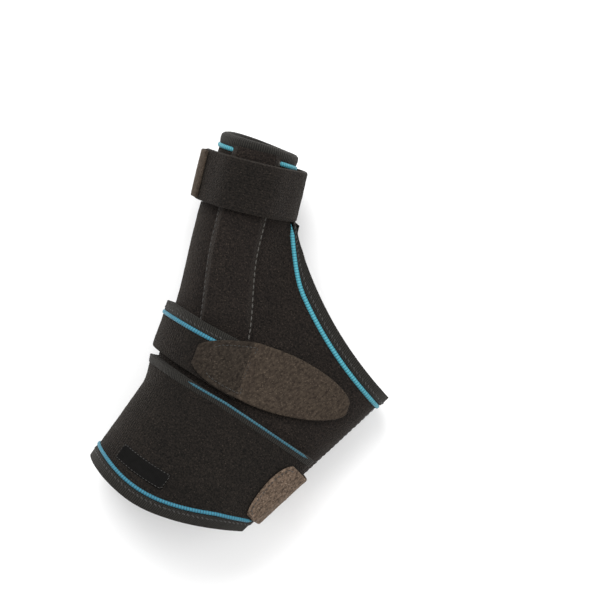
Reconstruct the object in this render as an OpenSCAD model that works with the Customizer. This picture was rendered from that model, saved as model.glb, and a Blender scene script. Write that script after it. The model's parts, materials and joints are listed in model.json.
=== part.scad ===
// Thumb and wrist splint, right hand, in its worn shape, lying on its palm side.
// +Y runs along the forearm towards the fingers, +X towards the little finger, +Z out of the back of the hand.

/* [Laminate] */
// Thickness of the foam laminate that the panels are cut from
foam_t = 3.5; // [3:0.25:4]
// Thickness of the straps and of the wrist wrap
strap_t = 3; // [2.5:0.25:3.25]
// Thickness of the pull tabs
tab_t = 1.4; // [1:0.1:1.6]

/* [Thumb] */
// Inside diameter of the thumb opening
thumb_d = 26; // [24:0.5:27]
// Length of the thumb sleeve beyond its seam
sleeve_l = 26.5; // [24:0.5:30]

/* [Stay] */
// Width of the metal stay
stay_w = 12; // [10:0.5:13]
// Thickness of the metal stay
stay_t = 1.2; // [1:0.1:1.3]
// Length of the metal stay
stay_l = 66; // [54:1:67]

/* [Edges] */
// Share of a panel's length that the edge binding covers
bind_share = 0.05; // [0.04:0.005:0.06]
// Width of the blue piping
piping_w = 1.9; // [1.5:0.1:2.2]

/* [Hidden] */

gap = 0.45;                   // clearance between loose layers
home = [1.5, 0.5, 0];         // moves the outline's working origin so that the frame's origin is the box's centre
rest_cut = 1;                 // how far the round palm side is pressed flat by lying down
web_c = 0.27;                 // where the thumb web lies, as a share of the way from thumb side to little finger side

// Outer surface of the panels: a hand tube and a thumb cone, smoothly joined.
hand_n = 2.5;
blend_k = 10;
thumb_base = [-2, -8];        // foot of the thumb cone's axis, seen from above
thumb_dir = 127.3;            // bearing of the thumb, from +X
thumb_rise = 0.082;           // slope of the thumb's axis, which keeps the cone's top line level
thumb_r0 = 24;
thumb_z0 = thumb_r0 - rest_cut;
thumb_u = [cos(thumb_dir), sin(thumb_dir)];
thumb_narrow = 0.18;          // how much narrower than high the cone's foot is, as a share
function wrist(y) = 0.0485 * max(0, -10 - y);
function half_w(y) = 39.95 + 0.0604 * y - wrist(y);
function half_h(y) = 23 - 0.0634 * y;
function mid_x(y) = 23.65 - 0.1227 * y + wrist(y);
function hand_z(y) = half_h(y) - rest_cut;
function thumb_r(s) = thumb_r0 - thumb_rise * s;
function thumb_z(s) = thumb_z0 + thumb_rise * s;

function hand_field(p) = (pow(pow(abs(p.x - mid_x(p.y)) / half_w(p.y), hand_n)
    + pow(abs(p.z - hand_z(p.y)) / half_h(p.y), hand_n), 1 / hand_n) - 1) * half_h(p.y);
function thumb_field(p) = let(v = [p.x, p.y] - thumb_base, s = max(0, v * thumb_u), h = p.z - thumb_z(s),
    side = v.y * thumb_u.x - v.x * thumb_u.y, f = 1 + thumb_narrow * ease((62 - s) / 50))
    sqrt(max(0, v * v - s * s) + (f * f - 1) * side * side + h * h) - thumb_r(s);
function field(p) = let(a = hand_field(p), b = thumb_field(p), h = max(blend_k - abs(a - b), 0) / blend_k)
    min(a, b) - h * h * blend_k / 4;
function normal(p) = let(e = 0.05, f = field(p), g = [field(p + [e, 0, 0]) - f, field(p + [0, e, 0]) - f,
    field(p + [0, 0, e]) - f]) g / norm(g);
function ease(x) = let(t = min(1, max(0, x))) t * t * (3 - 2 * t);
function mix(a, b, t) = a + (b - a) * t;
function mid_z(q) = let(s = max(0, (q - thumb_base) * thumb_u)) mix(hand_z(q.y), thumb_z(s), ease(-q.x / 26));

// The surface above or below a point, and where a line seen from above meets the outline.
function climb(q, way, lo, hi, n) = let(m = (lo + hi) / 2) n == 0 ? m
    : field([q.x, q.y, mid_z(q) + way * m]) < 0 ? climb(q, way, m, hi, n - 1) : climb(q, way, lo, m, n - 1);
function lift(q, way) = [q.x, q.y, mid_z(q) + way * (field([q.x, q.y, mid_z(q)]) > 0 ? 0 : climb(q, way, 0, 40, 13))];
function outline(a, b, lo, hi, n) = let(m = (lo + hi) / 2, q = mix(a, b, m)) n == 0 ? q
    : field([q.x, q.y, mid_z(q)]) < 0 ? outline(a, b, m, hi, n - 1) : outline(a, b, lo, m, n - 1);
// A row is the pair of outline points on one line across the brace.
function row(l, r) = let(m = (l + r) / 2) [outline(m, l, 0, 1.6, 14), outline(m, r, 0, 1.6, 14)];
function at(row, phi, push = 0) = let(c = (1 - cos(phi)) / 2, q = mix(row[0], row[1], c) + [0, push])
    lift(q, sin(phi) < 0 ? -1 : 1);
// Angle in a row at a distance along bearing e.
function phi_at(row, e, x) = acos(1 - 2 * min(1, max(0, (x - row[0] * e) / ((row[1] - row[0]) * e))));
function floored(p) = [p.x, p.y, max(0, p.z)];
function off(p, d) = floored(p + d * normal(p));

// Rows of the panels, from the cuff at 0 to the hand rim and the thumb seam at 1.
function panel_row(t) = row(mix([5, -74], [-59.5, 31], t), mix([71, -39], [61.5, 39.5], t));
function cuff_push(phi) = let(c = (1 - cos(phi)) / 2) -4 * c * (1 - c) * (sin(phi) < 0 ? 6 : 11);
function rim_push(phi) = let(c = (1 - cos(phi)) / 2, w = 22.6)
    c < web_c ? w * c / web_c
    : w * pow(1 - (c - web_c) / (1 - web_c), 2.1) - (sin(phi) < 0 ? 13 * sin(180 * (c - web_c) / (1 - web_c)) : 0);
function panel_at(row, t, phi) = at(row, phi, pow(1 - t, 2) * cuff_push(phi) + t * t * rim_push(phi));

// A closed sheet from a grid of points on its lower and upper side.
module sheet(low, high) {
    n = len(low);
    m = len(low[0]);
    points = [for (g = [low, high]) for (r = g) each r];
    function i(side, a, b) = side * n * m + a * m + b;
    faces = [
        for (a = [0:n - 2]) for (b = [0:m - 2]) each [
            [i(0, a, b), i(0, a, b + 1), i(0, a + 1, b)],
            [i(0, a, b + 1), i(0, a + 1, b + 1), i(0, a + 1, b)],
            [i(1, a, b), i(1, a + 1, b), i(1, a, b + 1)],
            [i(1, a, b + 1), i(1, a + 1, b), i(1, a + 1, b + 1)]],
        for (a = [0:n - 2]) each [
            [i(0, a, 0), i(0, a + 1, 0), i(1, a, 0)], [i(1, a, 0), i(0, a + 1, 0), i(1, a + 1, 0)],
            [i(0, a, m - 1), i(1, a, m - 1), i(0, a + 1, m - 1)],
            [i(1, a, m - 1), i(1, a + 1, m - 1), i(0, a + 1, m - 1)]],
        for (b = [0:m - 2]) each [
            [i(0, 0, b), i(1, 0, b), i(0, 0, b + 1)], [i(1, 0, b), i(1, 0, b + 1), i(0, 0, b + 1)],
            [i(0, n - 1, b), i(0, n - 1, b + 1), i(1, n - 1, b)],
            [i(1, n - 1, b), i(0, n - 1, b + 1), i(1, n - 1, b + 1)]]];
    translate(home) polyhedron(points, faces);
}
// A sheet between depths d0 and d1 off a grid of surface points.
module skin(grid, d0, d1) {
    sheet([for (r = grid) [for (p = r) off(p, d0)]], [for (r = grid) [for (p = r) off(p, d1)]]);
}
function panel_grid(t0, t1, nt, phi0, phi1, np) = [for (k = [0:nt]) let(t = mix(t0, t1, k / nt), r = panel_row(t))
    [for (j = [0:np]) panel_at(r, t, mix(phi0, phi1, j / np))]];

/* ---- Panels ---- */
web_phi = acos(1 - 2 * web_c);
cuff_t = bind_share;
rim_t = 1 - bind_share;
module dorsal_panel() {
    color([0.11, 0.1, 0.1]) skin(panel_grid(0.008, rim_t, 14, 0.5, 179.5, 30), -foam_t, 0);
}
module palmar_panel() {
    color([0.12, 0.11, 0.11]) skin(panel_grid(cuff_t, rim_t, 13, 180.5, 359.5, 30), -foam_t, 0);
}
module lining() {
    color([0.16, 0.16, 0.18]) skin(panel_grid(0.06, 0.93, 13, 3, 357, 59), -foam_t - 1.1, -foam_t - 0.45);
}
module thumb_seam_tape() {
    color([0.1, 0.1, 0.1]) {
        skin(panel_grid(rim_t + 0.002, 0.998, 1, 0.5, web_phi - 4, 9), -foam_t + 0.4, -0.2);
        skin(panel_grid(rim_t + 0.002, 0.998, 1, 364 - web_phi, 359.5, 9), -foam_t + 0.4, -0.2);
    }
}
module ulnar_seam() {
    color([0.2, 0.2, 0.2]) skin(panel_grid(0.36, 0.93, 12, 177, 183, 2), 0.1, 0.7);
}

/* ---- Edges of the panels. The piping stops short of the flattened palm side. ---- */
module hand_rim_binding() {
    color([0.14, 0.14, 0.14]) skin(panel_grid(rim_t + 0.001, 1, 1, web_phi + 2, 358 - web_phi, 40), -foam_t - 0.3, 0.5);
}
module hand_rim_piping() {
    share = piping_w / 100;
    color([0.15, 0.6, 0.75])
        skin(panel_grid(rim_t - share, rim_t - 0.001, 1, web_phi + 2, 220, 32), 0.1, 0.9);
}
module palm_cuff_binding() {
    color([0.14, 0.14, 0.14]) skin(panel_grid(0, cuff_t - 0.001, 1, 180.5, 359.5, 22), -foam_t - 0.3, 0.1);
}
module palm_cuff_piping() {
    share = piping_w / 90;
    color([0.15, 0.6, 0.75]) for (span = [[207, 224], [306, 319]])
        skin(panel_grid(cuff_t, cuff_t + share, 1, span[0], span[1], 4), 0.1, 0.9);
}

/* ---- Thumb ---- */
seam_s = 66;
thumb_pitch = atan(thumb_rise);
sleeve_r0 = thumb_r(seam_s);
sleeve_r1 = sleeve_r0 - 2;
bore_r = thumb_d / 2;
edge_h = 4.5;
// Places children with z along the thumb, x down and y to the thumb's outer side.
module on_thumb(s) {
    translate(home + [thumb_base.x + s * thumb_u.x, thumb_base.y + s * thumb_u.y, thumb_z(s)])
        rotate([0, 0, thumb_dir]) rotate([0, 90 - thumb_pitch, 0]) children();
}
module thumb_sleeve() {
    color([0.11, 0.1, 0.1]) on_thumb(seam_s) rotate_extrude($fn = 96)
        polygon([[bore_r, 0.2], [sleeve_r0, 0.2], [sleeve_r1, sleeve_l - edge_h], [bore_r, sleeve_l - edge_h]]);
}
module thumb_binding() {
    w = sleeve_r1 + 0.4;
    color([0.14, 0.14, 0.14]) on_thumb(seam_s) rotate_extrude($fn = 96)
        polygon([[bore_r, sleeve_l - edge_h + 0.02], [w, sleeve_l - edge_h + 0.02], [w, sleeve_l - 1.5],
            [w - 1.5, sleeve_l], [bore_r + 1, sleeve_l], [bore_r, sleeve_l - 1]]);
}
module thumb_piping() {
    color([0.15, 0.6, 0.75]) on_thumb(seam_s) translate([0, 0, sleeve_l - edge_h - piping_w - 0.1])
        difference() {
            cylinder(h = piping_w, r = sleeve_r1 + 1, $fn = 96);
            translate([0, 0, -1]) cylinder(h = piping_w + 2, r = sleeve_r1 + 0.3, $fn = 96);
        }
}

/* ---- Stay and pocket: a straight, arched channel along the level top line of the thumb ---- */
pocket_l = stay_l + 4;
pocket_end = 87;              // distance along the thumb at which the pocket's mouth lies
pocket_wall = 0.5;
pocket_lift = 0.7;            // how far the pocket's floor is above the thumb's top line
arch_r = 28;                  // radius of the pocket's floor across the thumb
slot_h = stay_t + 0.5;
slot_w = stay_w + 1.2;
pocket_w = slot_w + 3.6;
pocket_top_r = arch_r + 2 * pocket_wall + slot_h;
// An arched strip between radii r0 and r1, w wide, as seen along the channel.
module arch(r0, r1, w) {
    translate([0, -arch_r]) intersection() {
        difference() { circle(r1, $fn = 96); circle(r0, $fn = 96); }
        translate([-w / 2, 0]) square([w, 2 * r1]);
    }
}
// Places children with z back from the pocket's mouth and y up.
module in_channel() {
    translate(home + [thumb_base.x + pocket_end * thumb_u.x, thumb_base.y + pocket_end * thumb_u.y,
        thumb_r0 + thumb_z0 + pocket_lift]) rotate([0, 0, thumb_dir - 90]) rotate([90, 0, 0]) children();
}
module stay_pocket() {
    color([0.12, 0.11, 0.11]) in_channel() difference() {
        linear_extrude(pocket_l) arch(arch_r, pocket_top_r, pocket_w);
        translate([0, 0, -1]) linear_extrude(pocket_l)
            arch(arch_r + pocket_wall, arch_r + pocket_wall + slot_h, slot_w);
    }
}
module pocket_stitching() {
    pitch = 3;
    side_x = pocket_w / 2 - 0.9;
    side_y = sqrt(pocket_top_r * pocket_top_r - side_x * side_x) - arch_r;
    color([0.35, 0.34, 0.33]) in_channel() for (side = [-1, 1], k = [9:floor(pocket_l / pitch) - 1])
        translate([side * side_x - 0.3, side_y + 0.12, k * pitch]) cube([0.6, 0.4, 2]);
}
module stay() {
    floor_r = arch_r + pocket_wall + 0.25;
    color([0.75, 0.76, 0.78]) in_channel() translate([0, 0, 1]) linear_extrude(stay_l)
        arch(floor_r, floor_r + stay_t, stay_w);
}

/* ---- Thumb strap: a band over the sleeve and the pocket, with a tab on its end ---- */
thumb_strap_s = 62.5;
thumb_strap_w = 22.5;
ring_r = thumb_r(thumb_strap_s) + 0.5;
channel_y = thumb_r0 + thumb_z0 + pocket_lift - thumb_z(thumb_strap_s) + 0.5;
strap_split_a = 225;          // where the strap's hinge lies, round the thumb from below
module strap_line(d) {
    offset(r = d, $fn = 72) hull() {
        circle(ring_r, $fn = 72);
        rotate([0, 0, 90]) translate([0, channel_y]) arch(arch_r, pocket_top_r, pocket_w + 0.6);
    }
}
// A wedge of the plane between two angles, which are measured from below, through the outer side, to the top.
module wedge(a0, a1) {
    n = 8;
    polygon([[0, 0], for (k = [0:n]) 60 * [cos(mix(a0, a1, k / n)), sin(mix(a0, a1, k / n))]]);
}
module thumb_band(d0, d1, a0, a1, z0, z1) {
    on_thumb(thumb_strap_s) translate([0, 0, z0]) linear_extrude(z1 - z0) intersection() {
        difference() { strap_line(d1); strap_line(d0); }
        wedge(a0, a1);
    }
}
module thumb_strap_root() {
    color([0.1, 0.1, 0.1]) thumb_band(0, strap_t, strap_split_a - 359, -46, 0, thumb_strap_w);
}
module thumb_strap() {
    color([0.1, 0.1, 0.1]) thumb_band(0, strap_t, 100, strap_split_a, 0, thumb_strap_w);
}
module thumb_tab_root() {
    color([0.36, 0.32, 0.28]) thumb_band(strap_t + 0.05, strap_t + tab_t, 101, 118, 1, thumb_strap_w - 1);
}
module thumb_tab() {
    color([0.36, 0.32, 0.28]) thumb_band(strap_t + 0.05, strap_t + tab_t, 50, 100, 1, thumb_strap_w - 1);
}
module thumb_hook_pad() {
    color([0.2, 0.2, 0.2]) thumb_band(strap_t - 1, strap_t, 54, 96, 3, thumb_strap_w - 3);
}

/* ---- Wrist wrap: a second layer over the back of the wrist ---- */
wrap_bearing = 17.4;
wrap_e = [cos(wrap_bearing), sin(wrap_bearing)];
wrap_top = [[-20.5, -27.6], [64, -1.2]];
wrap_split = [-11, -7];       // where the flap's hinge lies at the cuff and at the top, along the bearing
wrap_end_phi = 153;
function wrap_row(t) = let(b = panel_row(0), q = row(wrap_top[0], wrap_top[1])) row(mix(b[0], q[0], t), mix(b[1], q[1], t));
function wrap_at(r, t, phi) = at(r, phi, pow(1 - t, 2) * cuff_push(phi));
function split_phi(r, t, d) = phi_at(r, wrap_e, mix(wrap_split[0], wrap_split[1], t) + d);
function wrap_grid(t0, t1, nt, phi1, np) = [for (k = [0:nt]) let(t = mix(t0, t1, k / nt), r = wrap_row(t),
    a = split_phi(r, t, 0)) [for (j = [0:np]) wrap_at(r, t, mix(a, phi1, j / np))]];
function root_grid(t0, t1, nt, np) = [for (k = [0:nt]) let(t = mix(t0, t1, k / nt), r = wrap_row(t),
    b = split_phi(r, t, -gap)) [for (j = [0:np]) wrap_at(r, t, mix(mix(-20, -38, t), b, j / np))]];
wrap_cuff = 0.11;
wrap_edge = 0.93;
module wrap_root() {
    color([0.11, 0.1, 0.1]) skin(root_grid(wrap_cuff, wrap_edge, 6, 8), gap, gap + strap_t);
}
module wrap_root_binding() {
    color([0.14, 0.14, 0.14]) skin(root_grid(0, wrap_cuff - 0.004, 1, 8), gap, gap + strap_t + 0.5);
}
module wrap_root_piping() {
    color([0.15, 0.6, 0.75]) skin(root_grid(wrap_cuff, wrap_cuff + 0.045, 1, 8), gap + strap_t + 0.1, gap + strap_t + 0.9);
}
module wrap_flap() {
    color([0.11, 0.1, 0.1])
        skin(wrap_grid(wrap_cuff, wrap_edge, 8, wrap_end_phi, 20), gap, gap + strap_t);
}
module wrap_cuff_binding() {
    color([0.14, 0.14, 0.14])
        skin(wrap_grid(0, wrap_cuff - 0.004, 1, wrap_end_phi, 20), gap, gap + strap_t + 0.5);
}
module wrap_cuff_piping() {
    color([0.15, 0.6, 0.75]) skin(wrap_grid(wrap_cuff, wrap_cuff + 0.045, 1, 124, 18),
        gap + strap_t + 0.1, gap + strap_t + 0.9);
}
module wrap_edge_binding() {
    color([0.14, 0.14, 0.14])
        skin(wrap_grid(wrap_edge + 0.004, 1, 1, wrap_end_phi, 16), gap, gap + strap_t + 0.3);
}
module wrap_edge_piping() {
    color([0.15, 0.6, 0.75]) skin(wrap_grid(0.97, 0.995, 1, 140, 14),
        gap + strap_t + 0.4, gap + strap_t + 0.9);
}
module size_label() {
    x = [-9.2, 12.8];
    color([0.07, 0.07, 0.07]) skin([for (t = [0.17, 0.235, 0.3]) let(r = wrap_row(t))
        [for (j = [0:8]) wrap_at(r, t, phi_at(r, wrap_e, mix(x[0], x[1], j / 8)))]],
        gap + strap_t + 0.1, gap + strap_t + 0.6);
}

/* ---- Wrist tab: sewn on the end of the wrap, closing round the little finger side ---- */
tab_layer = gap + strap_t + 0.15;
function wtab_row(t) = row([-10, mix(-39, -9.5, t) - 6], [68, mix(-39, -9.5, t)]);
function round_end(t, reach) = reach * (1 - sqrt(max(0, 1 - pow(2 * t - 1, 2))));
function wtab_drop(phi) = -(strap_t - 0.9) * ease((phi - wrap_end_phi - 2) / 14);
module wtab(phi0, r0, phi1, r1, np, d0, d1, inset = 0) {
    nt = 10;
    g = [for (k = [0:nt]) let(t = mix(0.02 + inset, 0.98 - inset, k / nt), r = wtab_row(t))
        [for (j = [0:np]) let(phi = mix(phi0 + round_end(t, r0), phi1 - round_end(t, r1), j / np))
            [at(r, phi), wtab_drop(phi)]]];
    sheet([for (r = g) [for (p = r) off(p[0], p[1] + d0)]], [for (r = g) [for (p = r) off(p[0], p[1] + d1)]]);
}
wtab_split = 148;
module wrist_tab_root() {
    color([0.36, 0.32, 0.28]) wtab(136, 10, wtab_split, 0, 5, tab_layer, tab_layer + tab_t);
}
module wrist_tab() {
    color([0.36, 0.32, 0.28]) wtab(wtab_split + 0.6, 0, 207, 12, 14, tab_layer, tab_layer + tab_t);
}
module wrist_hook_pad() {
    color([0.2, 0.2, 0.2]) wtab(172, 0, 203, 8, 6, tab_layer - 0.7, tab_layer - 0.05, 0.1);
}

/* ---- Oblique strap over the root of the thumb ---- */
strap_low = [[-21.2, -25.6], [22.2, -12.1]];
strap_high = [[-31.5, -7.2], [9.2, 9.6]];
strap_split = -13;
strap_edge = 0.8;
function strap_row(t) = row(mix(strap_low[0], strap_high[0], t), mix(strap_low[1], strap_high[1], t) + 42 * wrap_e);
function strap_end(t) = wrap_e * mix([20.5, -12.4], [8.2, 8.4], t);
function strap_grid(t0, t1, nt, np) = [for (k = [0:nt]) let(t = mix(t0, t1, k / nt), r = strap_row(t),
    a = phi_at(r, wrap_e, strap_split), b = phi_at(r, wrap_e, strap_end(t))) [for (j = [0:np]) at(r, mix(a, b, j / np))]];
function strap_root_grid(t0, t1, nt, np) = [for (k = [0:nt]) let(t = mix(t0, t1, k / nt), r = strap_row(t),
    b = phi_at(r, wrap_e, strap_split - gap)) [for (j = [0:np]) at(r, mix(-34, b, j / np))]];
module strap_root() {
    color([0.11, 0.1, 0.1]) skin(strap_root_grid(0, strap_edge, 4, 7), gap, gap + strap_t);
}
module strap_root_binding() {
    color([0.14, 0.14, 0.14]) skin(strap_root_grid(strap_edge + 0.01, 1, 1, 7), gap, gap + strap_t + 0.4);
}
module strap_root_piping() {
    color([0.15, 0.6, 0.75]) skin(strap_root_grid(strap_edge - 0.09, strap_edge, 1, 7), gap + strap_t + 0.1,
        gap + strap_t + 0.8);
}
module strap() {
    color([0.11, 0.1, 0.1]) skin(strap_grid(0, strap_edge, 4, 12), gap, gap + strap_t);
}
module strap_binding() {
    color([0.14, 0.14, 0.14]) skin(strap_grid(strap_edge + 0.01, 1, 1, 12), gap, gap + strap_t + 0.1);
}
module strap_piping() {
    color([0.15, 0.6, 0.75]) skin([for (r = strap_grid(strap_edge - 0.09, strap_edge, 1, 12)) [for (j = [0:2]) r[j]]],
        gap + strap_t + 0.1, gap + strap_t + 0.8);
}

/* ---- Strap tab: a leaf sewn on the end of the strap ---- */
leaf_bearing = 31;
leaf_e = [cos(leaf_bearing), sin(leaf_bearing)];
leaf_f = [-leaf_e.y, leaf_e.x];
leaf_root = [-5.5, -12.5];
leaf_l = 68.5;
leaf_split = 24;
function leaf_half(x) = 13 * pow(sin(180 * pow(x / leaf_l, 0.95)), 0.45);
function leaf_at(x, v) = lift(leaf_root + x * leaf_e + v * leaf_half(x) * leaf_f, 1);
// How far a point lies past the end of the strap, in mm.
function past_strap(p) = let(q = [p.x, p.y], a = [20.5, -12.4], b = [8.2, 8.4], n = [b.y - a.y, a.x - b.x] / norm(b - a))
    (q - a) * n;
function leaf_layer(p) = -(strap_t - 0.8) * ease((past_strap(p) - 1.5) / 5);
module leaf(x0, x1, nx, inset, d0, d1) {
    nv = 8;
    g = [for (k = [0:nx]) let(x = mix(x0, x1, k / nx)) [for (j = [0:nv])
        let(p = leaf_at(x, (1 - inset) * (1 - 2 * j / nv))) [p, leaf_layer(p)]]];
    sheet([for (r = g) [for (p = r) off(p[0], p[1] + d0)]], [for (r = g) [for (p = r) off(p[0], p[1] + d1)]]);
}
module strap_tab_root() {
    color([0.3, 0.27, 0.24]) leaf(1.2, leaf_split - gap, 9, 0, tab_layer, tab_layer + tab_t);
}
module strap_tab() {
    color([0.36, 0.32, 0.28]) leaf(leaf_split, leaf_l - 0.6, 16, 0, tab_layer, tab_layer + tab_t);
}
module strap_hook_pad() {
    color([0.2, 0.2, 0.2]) leaf(leaf_split + 9, leaf_l - 5, 8, 0.15, tab_layer - 0.7, tab_layer - 0.05);
}

dorsal_panel();
palmar_panel();
lining();
thumb_sleeve();
thumb_seam_tape();
thumb_binding();
thumb_piping();
ulnar_seam();
hand_rim_binding();
hand_rim_piping();
palm_cuff_binding();
palm_cuff_piping();
stay_pocket();
pocket_stitching();
stay();
wrap_root();
wrap_root_binding();
wrap_root_piping();
wrap_flap();
wrap_cuff_binding();
wrap_cuff_piping();
wrap_edge_binding();
wrap_edge_piping();
size_label();
wrist_tab_root();
wrist_tab();
wrist_hook_pad();
strap_root();
strap_root_binding();
strap_root_piping();
strap();
strap_binding();
strap_piping();
strap_tab_root();
strap_tab();
strap_hook_pad();
thumb_strap_root();
thumb_strap();
thumb_tab_root();
thumb_tab();
thumb_hook_pad();
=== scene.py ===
"""A right-hand thumb and wrist splint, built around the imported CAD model.

Lengths are in millimetres until a mesh is made. The working surface is the same one that the CAD
model is laid out on: a hand tube and a thumb cone, smoothly joined. Each fabric piece is a grid of
points on that surface, made into a sheet with a thickness.
"""

import json
import math

import bmesh
import bpy
import numpy as np
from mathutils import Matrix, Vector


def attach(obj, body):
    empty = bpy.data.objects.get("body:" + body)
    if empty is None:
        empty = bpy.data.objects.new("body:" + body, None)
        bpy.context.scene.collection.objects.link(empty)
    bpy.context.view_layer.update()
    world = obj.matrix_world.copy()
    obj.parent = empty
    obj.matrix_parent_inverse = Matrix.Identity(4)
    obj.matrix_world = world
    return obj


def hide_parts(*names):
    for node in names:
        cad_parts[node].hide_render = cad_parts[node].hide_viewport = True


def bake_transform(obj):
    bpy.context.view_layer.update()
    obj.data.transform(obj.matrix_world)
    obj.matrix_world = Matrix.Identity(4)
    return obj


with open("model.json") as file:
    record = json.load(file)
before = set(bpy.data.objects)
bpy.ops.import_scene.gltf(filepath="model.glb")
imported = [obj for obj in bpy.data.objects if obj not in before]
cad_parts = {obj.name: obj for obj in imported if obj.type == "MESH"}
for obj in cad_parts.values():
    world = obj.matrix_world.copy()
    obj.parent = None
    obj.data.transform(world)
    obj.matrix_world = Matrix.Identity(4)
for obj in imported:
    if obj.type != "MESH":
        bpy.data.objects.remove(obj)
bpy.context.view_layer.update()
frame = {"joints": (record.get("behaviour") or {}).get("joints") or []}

MM = 0.001
HOME = np.array([1.5, 0.5, 0.0])  # from the working origin to the frame's origin
FOAM_T = 3.5
STRAP_T = 3.0
TAB_T = 1.4
GAP = 0.45
LAID_ON = GAP + STRAP_T  # top of the wrap and of the strap
TAB_LAYER = LAID_ON + 0.15
TAB_SPAN = (TAB_LAYER, TAB_LAYER + TAB_T)
HOOK_SPAN = (TAB_LAYER - 0.7, TAB_LAYER - 0.05)
BINDING_W = 5.4
PIPING_W = 2.0
STEP = 1.1  # spacing of the grid lines of a sheet
EDGE_ROWS = 26
WAVE_ROW = 8  # an edge's row that gives the way up for a tape's waves

# ---- The working surface ----
HAND_MID = (23.65, -0.1227)  # the hand tube's middle at y 0, and its change with y
HAND_HALF_W = (39.95, 0.0604)
HAND_HALF_H = (23, -0.0634)
HAND_POWER = 2.5
WRIST_FROM, WRIST_TAPER = -10, 0.0485
BLEND = 10
REST_CUT = 1.0
THUMB_BASE = np.array([-2.0, -8.0])
THUMB_BEARING = math.radians(127.3)
THUMB_RISE = 0.082
THUMB_R0 = 24
THUMB_Z0 = THUMB_R0 - REST_CUT
THUMB_NARROW = 0.18
THUMB_U = np.array([math.cos(THUMB_BEARING), math.sin(THUMB_BEARING)])
THUMB_N = np.array([-THUMB_U[1], THUMB_U[0]])  # towards the thumb's outer side
TOP_LINE = THUMB_R0 + THUMB_Z0


def ease(x):
    t = np.clip(x, 0, 1)
    return t * t * (3 - 2 * t)


def mix(a, b, t):
    return a + (b - a) * t


def between(a, b, t):
    return mix(np.array(a), np.array(b), t)


def turns(count):
    return np.linspace(0, 2 * math.pi, count, endpoint=False)


def shares(count):
    return np.linspace(0, 1, count)


def unit_rows(v):
    return v / np.linalg.norm(v, axis=-1, keepdims=True)


def half_h(y):
    return HAND_HALF_H[0] + HAND_HALF_H[1] * y


def hand_field(p):
    x, y, z = p[..., 0], p[..., 1], p[..., 2]
    wrist = WRIST_TAPER * np.maximum(0, WRIST_FROM - y)
    across = np.abs((x - HAND_MID[0] - HAND_MID[1] * y - wrist) / (HAND_HALF_W[0] + HAND_HALF_W[1] * y - wrist))
    up = np.abs((z - half_h(y) + REST_CUT) / half_h(y))
    return ((across**HAND_POWER + up**HAND_POWER) ** (1 / HAND_POWER) - 1) * half_h(y)


def thumb_field(p):
    v = p[..., :2] - THUMB_BASE
    s = np.maximum(0, v @ THUMB_U)
    h = p[..., 2] - THUMB_Z0 - THUMB_RISE * s
    f = 1 + THUMB_NARROW * ease((62 - s) / 50)
    flat = np.maximum(0, (v**2).sum(-1) - s * s) + (f * f - 1) * (v @ THUMB_N) ** 2
    return np.sqrt(flat + h * h) - THUMB_R0 + THUMB_RISE * s


def field(p):
    a, b = hand_field(p), thumb_field(p)
    h = np.maximum(BLEND - np.abs(a - b), 0) / BLEND
    return np.minimum(a, b) - h * h * BLEND / 4


def normals(p):
    e = 0.05
    f = field(p)
    return unit_rows(np.stack([field(p + e * np.eye(3)[k]) - f for k in range(3)], -1))


def mid_z(q):
    s = np.maximum(0, (q - THUMB_BASE) @ THUMB_U)
    return mix(half_h(q[..., 1]) - REST_CUT, THUMB_Z0 + THUMB_RISE * s, ease(-q[..., 0] / 26))


def with_z(q, z):
    return np.concatenate([q, z[..., None]], -1)


def lift(q, way):
    """Points on the surface above (way 1) or below (way -1) points of the plan."""
    q = np.asarray(q, float)
    middle = mid_z(q)
    low, high = np.zeros(q.shape[:-1]), np.full(q.shape[:-1], 40.0)
    for _ in range(26):
        d = (low + high) / 2
        inside = field(with_z(q, middle + way * d)) < 0
        low, high = np.where(inside, d, low), np.where(inside, high, d)
    return with_z(q, middle + way * (low + high) / 2)


def outline(a, b):
    """Where the plan's line from a through b leaves the outline."""
    a, b = np.asarray(a, float), np.asarray(b, float)
    low, high = 0.0, 1.6
    for _ in range(30):
        t = (low + high) / 2
        q = mix(a, b, t)
        if field(np.array([q[0], q[1], float(mid_z(q))])) < 0:
            low = t
        else:
            high = t
    return mix(a, b, (low + high) / 2)


def row(left, right):
    """The outline's two points on one line across the splint."""
    left, right = np.asarray(left, float), np.asarray(right, float)
    middle = (left + right) / 2
    return outline(middle, left), outline(middle, right)


def share(phi):
    return (1 - np.cos(np.radians(phi))) / 2


def around(ends, phi, push=0.0):
    """Surface points of one row at angles phi: 0 to 180 over the top, 180 to 360 underneath."""
    q = mix(ends[0], ends[1], share(phi)[..., None])
    q = q + np.stack([np.zeros_like(phi), np.broadcast_to(push, phi.shape)], -1)
    return lift(q, np.where(np.sin(np.radians(phi)) < 0, -1, 1))


def phi_at(ends, bearing, x):
    a, b = ends[0] @ bearing, ends[1] @ bearing
    return math.degrees(math.acos(1 - 2 * min(1, max(0, (x - a) / (b - a)))))


def unit(bearing):
    return np.array([math.cos(math.radians(bearing)), math.sin(math.radians(bearing))])


# ---- Rows of the panels and of the wrap, as in the CAD model ----
WEB = 0.27
WEB_PHI = math.degrees(math.acos(1 - 2 * WEB))


def panel_row(t):
    return row(between([5.0, -74], [-59.5, 31], t), between([71.0, -39], [61.5, 39.5], t))


def cuff_push(phi):
    c = share(phi)
    return -4 * c * (1 - c) * np.where(np.sin(np.radians(phi)) < 0, 6, 11)


def rim_push(phi):
    c = share(phi)
    beyond = np.clip((c - WEB) / (1 - WEB), 0, 1)
    palm = np.where(np.sin(np.radians(phi)) < 0, 13 * np.sin(np.pi * beyond), 0)
    return np.where(c < WEB, 22.6 * c / WEB, 22.6 * (1 - beyond) ** 2.1 - palm)


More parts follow.
